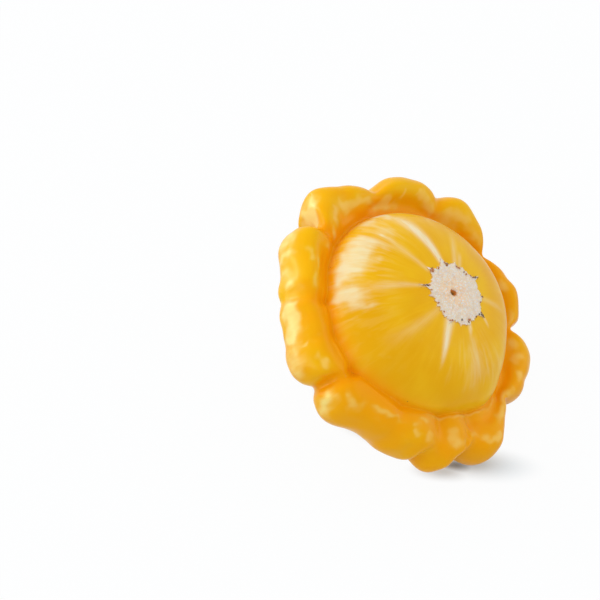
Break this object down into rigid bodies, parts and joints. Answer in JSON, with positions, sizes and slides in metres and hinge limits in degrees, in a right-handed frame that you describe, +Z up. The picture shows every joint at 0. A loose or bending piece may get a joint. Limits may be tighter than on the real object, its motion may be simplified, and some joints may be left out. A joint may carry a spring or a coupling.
{
  "type": "pattypan squash",
  "caption": "Yellow pattypan squash with a scalloped collar, a domed blossom end with a corky scar and a short ribbed stem, lying at rest.",
  "frame": {"origin": "on the surface that the squash lies on, under the middle of its box", "axes": "+Z up; -Y is the side that the blossom end and the viewer's side of the collar are seen from; the squash's own axis leans to +X"},
  "size_m": [0.0798, 0.0896, 0.0657],
  "materials": {
    "skin": "waxy, half-gloss",
    "stem": "matt, ribbed"
  },
  "bodies": {
    "root": {"fruit": "skin", "stem": "stem"}
  },
  "joints": []
}
